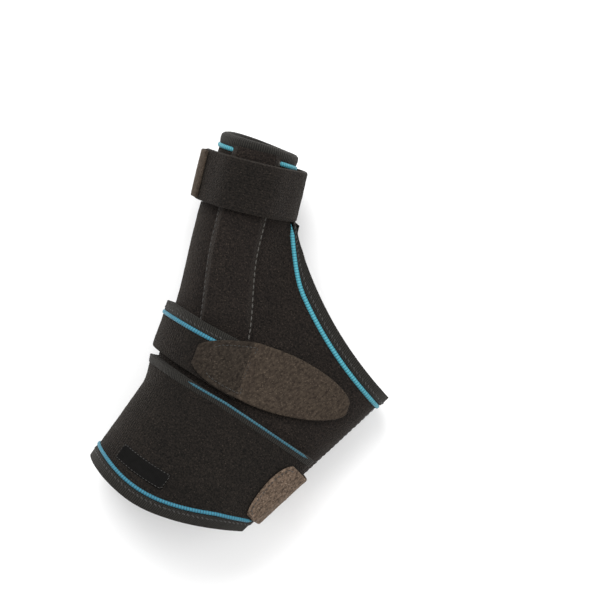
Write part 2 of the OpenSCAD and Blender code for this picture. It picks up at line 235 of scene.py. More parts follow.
def panel_points(t, phi):
    """Grid of surface points over panel shares t and angles phi."""
    return np.array([around(panel_row(k), phi, (1 - k) ** 2 * cuff_push(phi) + k * k * rim_push(phi))
            for k in t])


WRAP_E = unit(17.4)
WRAP_TOP = ([-20.5, -27.6], [64, -1.2])
WRAP_SPLIT = (-11, -7)
WRAP_END = 153
CUFF_ROW, TOP_ROW = panel_row(0), row(*WRAP_TOP)


def wrap_row(t):
    return row(mix(CUFF_ROW[0], TOP_ROW[0], t), mix(CUFF_ROW[1], TOP_ROW[1], t))


def wrap_points(t, low, high, columns):
    """Grid over wrap shares t, from plan position or angle low(ends, t) to high(ends, t)."""
    out = []
    for k in t:
        ends = wrap_row(k)
        phi = mix(low(ends, k), high(ends, k), columns)
        out.append(around(ends, phi, (1 - k) ** 2 * cuff_push(phi)))
    return np.array(out)


# ---- Smooth random bumps ----
def lattice(i, seed):
    h = (i[..., 0] * 73856093) ^ (i[..., 1] * 19349663) ^ (i[..., 2] * 83492791) ^ (seed * 2654435761)
    h = (h ^ (h >> 13)) * 1274126177 & 0xFFFFFFFF
    return ((h ^ (h >> 16)) & 0xFFFF) / 32767.5 - 1


def noise(p, size, seed=1):
    """Smooth value noise from -1 to 1 that changes over about size millimetres."""
    q = p / size
    base = np.floor(q).astype(np.int64)
    f = q - base
    f = f * f * (3 - 2 * f)
    total = np.zeros(p.shape[:-1])
    for corner in np.ndindex(2, 2, 2):
        c = np.array(corner)
        weight = np.prod(np.where(c == 1, f, 1 - f), -1)
        total += weight * lattice(base + c + 4096, seed)
    return total


# ---- Meshes ----
def make_object(name, verts, faces, material, uvs=None, smooth=True):
    """A mesh from points in the working frame, kept on or above the floor."""
    verts = np.array(verts, float)
    verts[:, 2] = np.maximum(verts[:, 2], 0)
    mesh = bpy.data.meshes.new(name)
    faces = faces.tolist() if isinstance(faces, np.ndarray) else faces
    mesh.from_pydata(((verts + HOME) * MM).tolist(), [], faces)
    mesh.polygons.foreach_set("use_smooth", [smooth] * len(mesh.polygons))
    if uvs is not None:
        layer = mesh.uv_layers.new(name="weave")
        loops = np.zeros(len(mesh.loops), np.int32)
        mesh.loops.foreach_get("vertex_index", loops)
        layer.data.foreach_set("uv", np.asarray(uvs)[loops].astype(np.float32).ravel())
    shape = bmesh.new()
    shape.from_mesh(mesh)
    bmesh.ops.recalc_face_normals(shape, faces=shape.faces)
    shape.to_mesh(mesh)
    shape.free()
    obj = bpy.data.objects.new(name, mesh)
    bpy.context.scene.collection.objects.link(obj)
    obj.data.materials.append(material)
    return obj


def ticks(length, step, edge):
    """Shares 0 to 1 along a length: evenly spaced, and closer together within edge of both ends."""
    close = [edge * (1 - math.cos(k * math.pi / 8)) / length for k in range(4)]
    count = max(2, round((length - 2 * edge) / step))
    middle = [edge / length + k / count * (1 - 2 * edge / length) for k in range(count + 1)]
    return np.array(close + middle + [1 - c for c in reversed(close)])


def eased(low, high, length, step=STEP, edge=1.2):
    return mix(low, high, ticks(length, step, edge))


def walked(points, axis):
    """Distance walked along one axis of a grid of points."""
    steps = np.linalg.norm(np.diff(points, axis=axis), axis=-1)
    return np.concatenate([np.zeros_like(steps.take([0], axis)), np.cumsum(steps, axis)], axis)


def edge_distance(points, open_sides):
    """Distance along the grid lines to the nearest of the sides: u0, u1, v0, v1."""
    du, dv = walked(points, 0), walked(points, 1)
    sides = {"u0": du, "u1": du[-1:] - du, "v0": dv, "v1": dv[:, -1:] - dv}
    return np.min([sides[s] for s in open_sides], axis=0)


def grid_faces(n, m, start=0, flip=False):
    a = start + np.arange(n - 1)[:, None] * m + np.arange(m - 1)[None]
    quads = np.stack([a, a + 1, a + m + 1, a + m], -1).reshape(-1, 4)
    return quads[:, ::-1] if flip else quads


def loop_faces(n, m):
    """Faces between n loops of m points each."""
    k, j = np.arange(n - 1)[:, None] * m, np.arange(m)[None]
    return np.stack([k + j, k + (j + 1) % m, k + m + (j + 1) % m, k + m + j], -1).reshape(-1, 4).tolist()


def closed_sheet(name, points, top, bottom, material, flip=True):
    """A closed mesh from two grids of one size, with the weave laid out along a grid of points."""
    n, m = points.shape[:2]
    rim = np.concatenate([np.arange(m), np.arange(1, n) * m + m - 1, (n - 1) * m + np.arange(m - 2, -1, -1),
            np.arange(n - 2, 0, -1) * m])
    after = np.roll(rim, -1)
    walls = np.stack([rim, rim + n * m, after + n * m, after], -1)
    faces = np.concatenate([grid_faces(n, m, 0, flip), grid_faces(n, m, n * m, not flip), walls])
    uv = np.stack([walked(points, 1), walked(points, 0)], -1).reshape(-1, 2)
    verts = np.concatenate([top.reshape(-1, 3), bottom.reshape(-1, 3)])
    return make_object(name, verts, faces, material, np.concatenate([uv, uv]))


def sheet(name, points, low, high, material, radius, rounded=("u0", "u1", "v0", "v1"), texture=None, up=None):
    """A closed cloth sheet between offsets low and high off a grid of surface points, with rounded edges.
    texture(points) adds to the upper side's height. Rows run across u, columns along v."""
    up = normals(points) if up is None else up
    middle, half = (low + high) / 2, (high - low) / 2 * np.ones(points.shape[:2])
    away = np.clip(edge_distance(points, rounded) / radius, 0, 1)
    half = half * np.sqrt(np.maximum(1 - (1 - away) ** 2, 0.0025))
    bump = texture(points) * ease(away) if texture else 0
    return closed_sheet(name, points, points + up * (middle + half + bump)[..., None],
            points + up * (middle - half)[..., None], material)


def frames(path, up):
    """Unit tangents and side vectors along a path whose upward directions are given."""
    along = unit_rows(np.gradient(path, axis=0))
    return along, unit_rows(np.cross(along, up))


def sweep(name, path, up, section, material):
    """A bar swept along a path. section(k) gives points (side, up) in millimetres for path point k."""
    n = len(path)
    side = frames(path, up)[1]
    rings = np.array([[path[k] + s * side[k] + u * up[k] for s, u in section(k)] for k in range(n)])
    m = rings.shape[1]
    faces = loop_faces(n, m) + [list(range(m))[::-1], [(n - 1) * m + i for i in range(m)]]
    reach = reach_along(path)
    uv = np.stack([np.repeat(reach, m), np.tile(np.arange(m), n)], -1)
    return make_object(name, rings.reshape(-1, 3), faces, material, uv)


def reach_along(path):
    return walked(path[:, None], 0)[:, 0]


def resample(path, step):
    reach = reach_along(path)
    count = max(2, round(reach[-1] / step))
    want = np.linspace(0, reach[-1], count + 1)
    return np.stack([np.interp(want, reach, path[:, k]) for k in range(3)], -1)


# ---- Materials ----
def colour(r, g, b):
    """A linear colour from display values 0 to 255."""
    return tuple(((c / 255 + 0.055) / 1.055) ** 2.4 if c > 10 else c / 255 / 12.92 for c in (r, g, b)) + (1.0,)


def grey(value):
    return (value, value, value, 1)


class Material:
    """A procedural material under construction: small helpers around one node tree."""

    def __init__(self, name, roughness=0.9, sheen=0.0, tint=(1, 1, 1, 1), metallic=0.0, specular=0.3):
        self.material = bpy.data.materials.new(name)
        self.material.use_nodes = True
        self.nodes = self.material.node_tree.nodes
        self.links = self.material.node_tree.links
        self.shader = self.nodes["Principled BSDF"]
        for socket, value in (("Roughness", roughness), ("Sheen Weight", sheen), ("Sheen Roughness", 0.45),
                ("Sheen Tint", tint), ("Metallic", metallic), ("Specular IOR Level", specular)):
            self.shader.inputs[socket].default_value = value
        self.place = self.nodes.new("ShaderNodeTexCoord")

    def node(self, kind, **values):
        """A node with some of its inputs set; an underscore in an input's name stands for a space."""
        node = self.nodes.new("ShaderNode" + kind)
        for name, value in values.items():
            node.inputs[name.replace("_", " ")].default_value = value
        return node

    def noise(self, size, detail=2.0, stretch=None, uv=False):
        """Noise whose grain is about size millimetres."""
        node = self.node("TexNoise", Scale=(1 if uv else 1000) / size, Detail=detail)
        self.links.new(self.stretched(stretch, uv), node.inputs["Vector"])
        return node.outputs["Fac"]

    def stretched(self, stretch, uv):
        source = self.place.outputs["UV" if uv else "Object"]
        if stretch is None:
            return source
        node = self.node("Mapping", Scale=stretch)
        self.links.new(source, node.inputs["Vector"])
        return node.outputs["Vector"]

    def cells(self, size):
        """Round cells about size millimetres across, 0 in the middle of each."""
        node = self.node("TexVoronoi", Scale=1000 / size)
        self.links.new(self.place.outputs["Object"], node.inputs["Vector"])
        return node.outputs["Distance"]

    def ribs(self, pitch, direction="X", distortion=0.6):
        """Ribs at a pitch in millimetres across the piece's own weave coordinates."""
        node = self.node("TexWave", Scale=0.314 / pitch, Distortion=distortion, Detail=1.0, Detail_Scale=2.0)
        node.bands_direction = direction
        self.links.new(self.place.outputs["UV"], node.inputs["Vector"])
        return node.outputs["Fac"]

    def ramp(self, value, *stops):
        """Colours at positions 0 to 1 of a value."""
        node = self.nodes.new("ShaderNodeValToRGB")
        elements = node.color_ramp.elements
        while len(elements) < len(stops):
            elements.new(0.5)
        for element, (position, shade) in zip(elements, stops):
            element.position = position
            element.color = shade
        self.links.new(value, node.inputs["Fac"])
        return node.outputs["Color"]

    def blend(self, kind, factor, a, b):
        """Mixes colour a with colour b; factor is a number or a socket."""
        node = self.nodes.new("ShaderNodeMix")
        node.data_type = "RGBA"
        node.blend_type = kind
        for value, socket in ((factor, node.inputs[0]), (a, node.inputs[6]), (b, node.inputs[7])):
            if isinstance(value, (float, tuple)):
                socket.default_value = value
            else:
                self.links.new(value, socket)
        return node.outputs[2]

    def add(self, a, b, weight=1.0):
        """a + weight * b."""
        node = self.nodes.new("ShaderNodeMath")
        node.operation = "MULTIPLY_ADD"
        self.links.new(b, node.inputs[0])
        node.inputs[1].default_value = weight
        self.links.new(a, node.inputs[2])
        return node.outputs[0]

    def finish(self, base, height, depth):
        """Sets the base colour and a bump depth millimetres deep."""
        self.links.new(base, self.shader.inputs["Base Color"])
        bump = self.node("Bump", Distance=depth * MM, Strength=1.0)
        self.links.new(height, bump.inputs["Height"])
        self.links.new(bump.outputs["Normal"], self.shader.inputs["Normal"])
        return self.material


def black_white(m, value, low, high):
    return m.ramp(value, (low, grey(0)), (high, grey(1)))


def loop_fabric(name, dark, light, fleck, grain=0.8, depth=0.5, flecks=0.5, ribs=0.0):
    """Brushed loop fabric: a fuzzy pile of tiny loops with lighter flecks of fibre."""
    m = Material(name, roughness=0.95, sheen=0.14, tint=colour(150, 140, 130), specular=0.12)
    pile = m.noise(grain, 3.0)
    base = m.ramp(pile, (0.32, dark), (0.68, light))
    base = m.blend("MIX", black_white(m, m.noise(0.55, 2.0), 0.62, 0.72), base,
            m.blend("MIX", flecks, light, fleck))
    worn = m.ramp(m.noise(17, 3.0), (0.3, grey(0.8)), (0.7, (1.15, 1.13, 1.1, 1)))
    base = m.blend("MULTIPLY", 1.0, base, worn)
    height = m.add(m.add(pile, m.cells(grain), -0.7), m.noise(0.35, 2.0), 0.5)
    if ribs:
        height = m.add(height, m.ribs(1.1, "X", 1.5), ribs)
    return m.finish(base, height, depth)


def felt(name, dark, light, fleck):
    """Short brushed felt of mixed fibres."""
    m = Material(name, roughness=1.0, sheen=0.12, tint=colour(190, 170, 150), specular=0.1)
    fibres = m.noise(1.0, 4.0, stretch=(1, 0.6, 1))
    base = m.ramp(fibres, (0.3, dark), (0.7, light))
    base = m.blend("MIX", black_white(m, m.noise(0.6, 3.0), 0.58, 0.72), base, fleck)
    height = m.add(m.noise(0.5, 4.0), fibres, 0.6)
    return m.finish(base, height, 0.22)


def ribbed_tape(name, dark, light, pitch=0.9, depth=0.25):
    """Elastic binding tape, knitted with fine ribs across it."""
    m = Material(name, roughness=0.85, sheen=0.15, tint=colour(160, 155, 150), specular=0.2)
    ribs = m.ribs(pitch, "X", 1.2)
    base = m.blend("MULTIPLY", 0.8, m.ramp(ribs, (0.1, dark), (0.9, light)),
            m.ramp(m.noise(0.9, 3.0), (0.3, grey(0.6)), (0.7, grey(1.25))))
    return m.finish(base, m.add(ribs, m.noise(0.45, 3.0), 0.7), depth)


def cord_yarn(name, deep, bright):
    """Shiny elastic piping, braided."""
    m = Material(name, roughness=0.55, sheen=0.2, tint=colour(190, 230, 240), specular=0.35)
    braid = m.ribs(1.2, "X", 0.3)
    base = m.ramp(braid, (0.0, deep), (0.28, bright), (1.0, bright))
    worn = m.ramp(m.noise(7, 2.0), (0.3, (0.75, 0.8, 0.85, 1)), (0.7, grey(1.1)))
    base = m.blend("MULTIPLY", 0.5, base, worn)
    return m.finish(base, m.add(braid, m.noise(0.3, 2.0), 0.5), 0.15)


def thread(name, dark, light):
    m = Material(name, roughness=0.6, sheen=0.2, specular=0.3)
    strands = m.noise(0.3, 2.0)
    return m.finish(m.ramp(strands, (0.3, dark), (0.7, light)), strands, 0.1)


def terry(name, dark, light):
    """Soft lining knit with short loops."""
    m = Material(name, roughness=1.0, sheen=0.2, specular=0.1)
    loops = m.cells(0.9)
    base = m.blend("MULTIPLY", 0.6, m.ramp(loops, (0.0, light), (0.6, dark)),
            m.ramp(m.noise(12, 2.0), (0.3, grey(0.8)), (0.7, grey(1.1))))
    return m.finish(base, m.add(m.noise(0.5, 2.0), loops, -1.0), 0.5)


def hook_tape(name):
    """Moulded hook tape: rows of tiny hooks."""
    m = Material(name, roughness=0.5, specular=0.4)
    hooks = m.cells(1.1)
    base = m.ramp(hooks, (0.0, colour(62, 60, 57)), (0.5, colour(24, 23, 22)))
    return m.finish(base, m.add(m.noise(0.4, 1.0), hooks, -2.0), 0.6)


def brushed_metal(name):
    m = Material(name, roughness=0.32, metallic=1.0, specular=0.5)
    grain = m.noise(0.5, 3.0, stretch=(0.05, 1, 1), uv=True)
    return m.finish(m.ramp(grain, (0.3, colour(176, 178, 182)), (0.7, colour(214, 216, 220))), grain, 0.03)


def woven_label(name):
    m = Material(name, roughness=0.95, specular=0.05)
    weave = m.ribs(0.5, "Y", 0.2)
    base = m.blend("MULTIPLY", 0.7, m.ramp(weave, (0.2, colour(11, 11, 11)), (0.8, colour(24, 23, 22))),
            m.ramp(m.noise(2.0, 2.0), (0.3, grey(0.8)), (0.7, grey(1.1))))
    return m.finish(base, weave, 0.1)


FOAM = loop_fabric("foam", colour(11, 9, 8), colour(34, 29, 26), colour(72, 63, 56))
WRAP = loop_fabric("foam_wrap", colour(10, 9, 8), colour(32, 28, 25), colour(66, 58, 52), ribs=0.35)
POCKET = loop_fabric("pocket", colour(12, 10, 9), colour(35, 30, 27), colour(74, 65, 57), grain=0.75)
# A darker copy of the felt: painted shade on the leaf's root part.
SHADED_FELT = felt("tab_shaded", colour(24, 20, 17), colour(48, 42, 36), colour(68, 60, 52))
FELT = felt("tab", colour(34, 28, 24), colour(60, 52, 44), colour(80, 70, 60))
# A lighter copy of the felt: painted light on the wrist tab.
LIT_FELT = felt("tab_lit", colour(46, 38, 31), colour(104, 88, 75), colour(136, 120, 106))
BINDING = ribbed_tape("binding", colour(13, 13, 11), colour(39, 37, 33))
PIPING = cord_yarn("piping", colour(16, 78, 94), colour(61, 141, 154))
# A darker copy of the piping: painted shade on the wrap's cuff cord and the strap cord.
SHADED_PIPING = cord_yarn("piping_shaded", colour(10, 54, 72), colour(42, 112, 132))
# A still darker, duller copy of the piping: painted shade on the cord along the wrap's top edge.
SHADED_EDGE_PIPING = cord_yarn("piping_deep_shade", colour(8, 34, 46), colour(34, 84, 98))
THREAD = thread("stitch", colour(44, 42, 39), colour(86, 83, 78))
DARK_THREAD = thread("stitch_dark", colour(20, 19, 18), colour(52, 49, 46))
LINING = terry("lining", colour(30, 31, 34), colour(66, 68, 72))
HOOKS = hook_tape("hook")
STAY_METAL = brushed_metal("stay")
LABEL = woven_label("label")


# ---- Edge tapes, piping and stitches that follow a grid's edge ----
class Edge:
    """The stretch of surface along one edge of a grid. Row 0 lies on the edge, and later rows further in."""

    def __init__(self, points):
        self.points = points
        self.up = normals(points)
        along = unit_rows(np.gradient(points[0], axis=0))
        step = np.diff(points, axis=0)
        across = step - (step * along).sum(-1, keepdims=True) * along
        self.inward = unit_rows(across[0])
        self.depth = np.concatenate([np.zeros((1, points.shape[1])),
                np.cumsum(np.linalg.norm(across, axis=-1), 0)])

    def line(self, s, d):
        """The line s millimetres in from the edge (negative: beyond it) and d off the surface."""
        out = np.empty((self.points.shape[1], 3))
        s = np.broadcast_to(s, len(out))
        for k in range(len(out)):
            inside = max(s[k], 0)
            p = np.array([np.interp(inside, self.depth[:, k], self.points[:, k, c]) for c in range(3)])
            n = np.array([np.interp(inside, self.depth[:, k], self.up[:, k, c]) for c in range(3)])
            out[k] = p + n * d - self.inward[k] * min(s[k], 0)
        return out


def tape(name, edge, section, material, scallop=0.0, narrow=1.0):
    """A binding tape round an edge: section is a closed loop of (inward, off) points in millimetres.
    narrow is the share of the tape's width that shows, along the edge."""
    lines = np.array([edge.line(s * narrow if s > 0 else s, d) for s, d in section])
    reach = reach_along(lines[0])
    if scallop:
        wave = scallop * np.sin(reach * 2 * math.pi / 2.6)
        fade = np.linspace(1, 0, len(section))[:, None, None]
        lines = lines + edge.up[WAVE_ROW] * wave[:, None] * fade
    m, n = lines.shape[:2]
    faces = loop_faces(n, m) + [list(range(m)), [(n - 1) * m + i for i in range(m)][::-1]]
    girth = walked(lines, 0)[:, 0]
    uv = np.stack([np.repeat(reach, m), np.tile(girth, n)], -1)
    return make_object(name, lines.transpose(1, 0, 2).reshape(-1, 3), faces, material, uv)


def fold_over(width, thick, bulge=0.8, lift_off=0.0):
    """Section of a tape folded over an edge that is thick millimetres thick, its top at height lift_off."""
    back = -thick - bulge
    nose = [(-0.15 - 0.55 * math.sin(a), mix(bulge - 0.1, back + 0.1, (1 - math.cos(a)) / 2))
            for a in np.linspace(0.25, math.pi - 0.25, 7)]
    over = [(width, 0.0), (width, bulge * 0.6), (width - 0.3, bulge * 0.9), (width * 0.7, bulge),
            (width * 0.35, bulge), (0.5, bulge)]
    under = [(0.5, back), (width * 0.35, back), (width * 0.7, back), (width, back * 0.985)]
    inside = [(width, -thick), (width * 0.3, -thick + 0.1), (0.35, -thick + 0.4), (0.35, -0.4),
            (width * 0.3, -0.1)]
    return [(s, d + lift_off) for s, d in over + nose + under + inside]


def piping(name, edge, s, d, width=PIPING_W, height=0.9, material=PIPING, taper=(0, 0)):
    """A braided cord sewn s millimetres in from an edge."""
    path = resample(edge.line(s, d), 0.24)
    up = normals(path)
    reach = reach_along(path)

    def section(k):
        ridge = 1 + 0.03 * math.sin(reach[k] * 2 * math.pi / 1.2)
        ends = min((reach[k] + 0.05) / max(taper[0], 0.05), (reach[-1] - reach[k] + 0.05) / max(taper[1], 0.05))
        w, h = (size * ridge * max(min(1, ends), 0.12) for size in (width / 2, height))
        return [(w * math.cos(a), max(h * math.sin(a), -0.3)) for a in turns(12)]

    return sweep(name, path, up, section, material)


def stitches(name, path, pitch, length, width, material, height=0.35, slant=0.0, jitter=0.0):
    """A row of sewn stitches along a path that lies on the cloth."""
    path = resample(path, pitch)
    up = normals(path)
    along, side = frames(path, up)
    verts, faces = [], []
    for k in range(len(path) - 1):
        turn = slant + jitter * float(noise(path[k:k + 1] * 7.3, 1.0, 9)[0])
        a = math.cos(turn) * along[k] + math.sin(turn) * side[k]
        b = math.cos(turn) * side[k] - math.sin(turn) * along[k]
        centre = (path[k] + path[k + 1]) / 2
        start = len(verts)
        for x, r in ((-0.5, 0.1), (-0.36, 0.75), (0.0, 1.0), (0.36, 0.75), (0.5, 0.1)):
            for t in turns(6):
                rise = height * (math.sin(t) * r * 0.5 + 0.5 * r - 0.25)
                verts.append(centre + a * x * length + b * width / 2 * r * math.cos(t) + up[k] * rise)
        faces += (np.array(loop_faces(5, 6)) + start).tolist()
        faces += [[start + j for j in range(5, -1, -1)], [start + 24 + j for j in range(6)]]
    return make_object(name, verts, faces, material)


def rim_stitches(name, path, width=0.55, height=0.4):
    """The short slanted stitches that hold a binding tape down."""
    return stitches(name, path, 2.1, 1.7, width, DARK_THREAD, height, slant=0.5, jitter=0.35)


def at_home(p):
    """A working point in the frame, in metres."""
    return tuple((np.asarray(p, float) + HOME) * MM)


def across_hinge(piece, a, b, joint, direction, reach=5.0, offset=(0, 0, 0)):
    """Bakes the piece's transform into its mesh and finds the joint's position; the piece is not bent from body a
    to body b.
    """
    spot = next(j for j in frame["joints"] if j["name"] == joint)["pos_m"]
    spot = np.array(spot) + np.array(offset) * MM
    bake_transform(piece)


def declare(piece, slot, moves, *nodes, padded=False):
    """Hides the CAD parts that a finished piece replaces and attaches it to a body, or hands it to across_hinge;
    moves is a body, or across_hinge's arguments.
    """
    if nodes:
        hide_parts(*nodes)
    if isinstance(moves, str):
        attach(piece, moves)
    else:
        across_hinge(piece, *moves)


def sunk_sheet(sink, name, points, low, high, material, radius, texture=None):
    """A sheet that lies sink(points) off its own layer."""
    drop = sink(points)
    return sheet(name, points, drop + low, drop + high, material, radius, texture=texture)


def relief(fine=1.0, soft=1.0, seed=0):
    """Gentle unevenness of soft fabric, as a height in millimetres over points."""
    return lambda p: (soft * (0.28 * noise(p, 17, 3 + seed) + 0.14 * noise(p, 7, 5 + seed))
            + fine * (0.07 * noise(p, 2.1, 7 + seed) + 0.05 * noise(p, 1.1, 11 + seed)))


# ---- Panels ----
PANEL_L, PANEL_W = 105, 130  # about the length and the width of a panel when it is flat


def panel_sheet(name, t_span, phi_span, texture, node):
    t = eased(*t_span, PANEL_L * (t_span[1] - t_span[0]))
    phi = eased(*phi_span, PANEL_W * (phi_span[1] - phi_span[0]) / 180, edge=1.5)
    piece = sheet(name, panel_points(t, phi), -FOAM_T, 0.0, FOAM, 1.1, ("v0", "v1"), texture)
    declare(piece, "foam", "brace", node, padded=True)


panel_sheet("dorsal_shell", (0.01, 0.985), (0.6, 179.4), relief(1, 0.5), "dorsal_panel")
panel_sheet("palmar_shell", (0.03, 0.985), (180.6, 359.4), relief(1, 0.8, 20), "palmar_panel")
lining = sheet("lining_knit", panel_points(eased(0.055, 0.935, 92, 1.6, 1.0), np.linspace(0, 360, 150)),
        -FOAM_T - 1.1, -FOAM_T - 0.3, LINING, 0.8, ("u0", "u1"))
declare(lining, "lining", "brace", "lining")

# ---- Rims of the panels ----
hand_phi = np.linspace(WEB_PHI + 0.5, 359.5 - WEB_PHI, 190)
hand_edge = Edge(panel_points(np.linspace(1, 0.90, EDGE_ROWS), hand_phi))
near_web = np.minimum(hand_phi - hand_phi[0], hand_phi[-1] - hand_phi) / 26
RIM_W = BINDING_W * (0.22 + 0.78 * ease(near_web))
hand_tape = tape("hand_rim_tape", hand_edge, fold_over(BINDING_W, FOAM_T), BINDING, 0.05, RIM_W / BINDING_W)
hand_cord = piping("hand_rim_cord", hand_edge, RIM_W + PIPING_W / 2 + 0.1, 0.05, taper=(5, 5))
declare(hand_tape, "binding", "brace", "hand_rim_binding")
declare(hand_cord, "piping", "brace", "hand_rim_piping")
declare(rim_stitches("hand_rim_stitches", hand_edge.line(RIM_W * 0.72, 0.86)), "stitch", "brace")

cuff_edge = Edge(panel_points(np.linspace(0, 0.11, EDGE_ROWS), np.linspace(156, 359.5, 120)))
cuff_tape = tape("palm_cuff_tape", cuff_edge, fold_over(BINDING_W, FOAM_T, 0.55), BINDING)
cuff_cord = piping("palm_cuff_cord", cuff_edge, BINDING_W + PIPING_W / 2, 0.0, height=0.5)
declare(cuff_tape, "binding", "brace", "palm_cuff_binding")
declare(cuff_cord, "piping", "brace", "palm_cuff_piping")
declare(rim_stitches("palm_cuff_stitches", cuff_edge.line(BINDING_W - 1.5, 0.6)), "stitch", "brace")

for side, turn, nodes in (("back", -3.2, ["ulnar_seam"]), ("palm", 3.2, [])):
    line = panel_points(np.linspace(0.30, 0.93, 70), np.array([180 + turn]))[:, 0]
    seam = stitches(f"ulnar_seam_{side}", line + normals(line) * 0.05, 2.6, 2.0, 0.5, DARK_THREAD, 0.2)
    declare(seam, "stitch", "brace", *nodes)


# ---- Thumb: sleeve, binding and piping ----
THUMB_PITCH = math.atan(THUMB_RISE)
AHEAD = np.array([*(math.cos(THUMB_PITCH) * THUMB_U), math.sin(THUMB_PITCH)])
DOWN = np.array([*(math.sin(THUMB_PITCH) * THUMB_U), -math.cos(THUMB_PITCH)])
OUTER = np.array([*THUMB_N, 0.0])
SEAM_S = 66
SLEEVE_L = 26.5
BORE_R = 13.0
RIM_SLANT = 1.3


def thumb_axis(s):
    return np.array([*(THUMB_BASE + s * THUMB_U), THUMB_Z0 + THUMB_RISE * s])


def thumb_point(s, angle, radius, ahead=0.0):
    """A point round the thumb's axis: angle in degrees from below, through the outer side."""
    a = np.radians(angle)
    ring = np.cos(a)[..., None] * DOWN + np.sin(a)[..., None] * OUTER
    return thumb_axis(s) + ring * np.asarray(radius)[..., None] + np.asarray(ahead)[..., None] * AHEAD


def revolve(name, s, profile, material, texture=0.0, columns=120, scallop=0.0):
    """A closed ring round the thumb; profile is a closed loop of (ahead, radius)."""
    angle = np.linspace(0, 360, columns, endpoint=False)
    profile = np.array(profile, float)
    m = len(profile)
    grid = np.array([thumb_point(s, angle, np.full(columns, r), np.full(columns, a)) for a, r in profile])
    if texture:
        away = grid - thumb_axis(s)
        away -= (away @ AHEAD)[..., None] * AHEAD
        rough = texture * noise(grid, 6, 31) + 0.3 * texture * noise(grid, 1.6, 32)
        grid = grid + unit_rows(away) * rough[..., None] * (profile[:, 1] > BORE_R + 1)[:, None, None]
    if scallop:
        ahead = scallop * np.sin(2 * np.radians(angle) + 0.6) + RIM_SLANT * np.sin(np.radians(angle))
        grid = grid + AHEAD * ahead[None, :, None]
    faces = np.array(loop_faces(m + 1, columns)) % (m * columns)
    girth = 2 * math.pi * profile[:, 1].mean() / columns
    uv = np.stack([np.tile(np.arange(columns) * girth, m), np.repeat(profile[:, 0], columns)], -1)
    return make_object(name, grid.reshape(-1, 3), faces, material, uv)


r0 = THUMB_R0 - THUMB_RISE * SEAM_S
r1 = r0 - 2
tip = SLEEVE_L - 3.5
tucked = [(-5, r0 - 1.2), (-2, r0 - 0.9)]  # under the panels' ends
outside = tucked + [(a, mix(r0, r1, a / tip)) for a in np.linspace(-1.2, tip, 34)]
inside = [(a, BORE_R + 0.1) for a in np.linspace(tip, -5, 20)]
tape_loop = [(5, r1 + 0.1), (4.8, r1 + 0.5), (3, r1 + 0.75), (1.3, r1 + 0.6), (0.4, r1 - 0.4),
        (0, (r1 + BORE_R) / 2), (0.4, BORE_R + 0.6), (1.4, BORE_R + 0.05), (5, BORE_R + 0.02), (5, r1 - 0.8)]
tape_loop = [(SLEEVE_L - a, r) for a, r in tape_loop]
cord_loop = [(SLEEVE_L - 6 + 1.0 * math.cos(a), r1 + 0.45 + 0.75 * math.sin(a))
        for a in np.linspace(2 * math.pi, 0, 10, endpoint=False)]
sleeve = revolve("thumb_sleeve_cloth", SEAM_S, outside + inside, FOAM, 0.16, scallop=0.01)
sleeve_tape = revolve("thumb_sleeve_tape", SEAM_S, tape_loop, BINDING, scallop=0.35)
sleeve_cord = revolve("thumb_sleeve_cord", SEAM_S, cord_loop, PIPING, columns=240, scallop=0.35)
declare(sleeve, "foam", "brace", "thumb_sleeve", "thumb_seam_tape", padded=True)
declare(sleeve_tape, "binding", "brace", "thumb_binding")
declare(sleeve_cord, "piping", "brace", "thumb_piping")

# ---- Stay and its pocket ----
ARCH_R = 28
POCKET_LIFT = 0.7
POCKET_END = 87
POCKET_H = 2.7
SEWN_H = 0.8  # height of the pocket's cloth where it is sewn down
SEAM_HALF = 10.6


def pocket_grid(s, v):
    """Plan points at distances s along the thumb and shares v (-1 to 1) across the pocket's cloth."""
    flare = 5.5 * ease((48 - s) / 42)
    outer = SEAM_HALF - 0.7 * flare
    inner = -SEAM_HALF - flare
    across = np.where(v < 0, -v * inner, v * outer)
    return THUMB_BASE + s[..., None] * THUMB_U + across[..., None] * THUMB_N, across


def pocket_height(across):
    """Top of the pocket's cloth, arched over the channel, at distances across it."""
    within = np.minimum(np.abs(across), 9)
    return TOP_LINE + POCKET_LIFT + 0.15 - ARCH_R + np.sqrt((ARCH_R + POCKET_H) ** 2 - within**2)


def pocket_surface(s_values, v_values):
    s, v = np.meshgrid(s_values, v_values, indexing="ij")
    plan, across = pocket_grid(s, v)
    ground = lift(plan, np.ones_like(s))
    rise = np.maximum(pocket_height(across) - ground[..., 2], SEWN_H)
    near = ease((1 - np.abs(v)) / 0.24) * ease((s - 7) / 12)
    ground[..., 2] += mix(SEWN_H, rise, near)
    return ground


pocket_s = eased(8.0, POCKET_END + 0.6, 79, edge=1.0)
pocket_v = np.concatenate([np.linspace(-1, -0.5, 16), np.linspace(-0.45, 0.45, 14), np.linspace(0.5, 1, 16)])
top = pocket_surface(pocket_s, pocket_v)
top_up = np.cross(np.gradient(top, axis=0), np.gradient(top, axis=1))
top_up *= np.sign(top_up[..., 2:]) / np.linalg.norm(top_up, axis=-1, keepdims=True)
unevenness = relief(1, 0.35, 40)(top) * ease(np.minimum(1 - np.abs(pocket_v)[None], 0.25) * 4)
pocket = closed_sheet("pocket_cloth", top, top + top_up * unevenness[..., None], top - np.array([0, 0, 0.55]),
        POCKET, flip=False)
declare(pocket, "pocket", "brace", "stay_pocket")
# The outer seam uses the darker thread, which also stands for painted shade along that side of the pocket.
for side, v, shade, nodes in (("inner", -0.94, THREAD, ["pocket_stitching"]), ("outer", 0.94, DARK_THREAD, [])):
    line = pocket_surface(np.linspace(9, POCKET_END - 1, 60), np.array([v]))[:, 0] + np.array([0, 0, 0.12])
    seam = stitches(f"pocket_seam_{side}", line, 2.7, 2.1, 0.62, shade, 0.45, jitter=0.12)
    declare(seam, "stitch", "brace", *nodes)

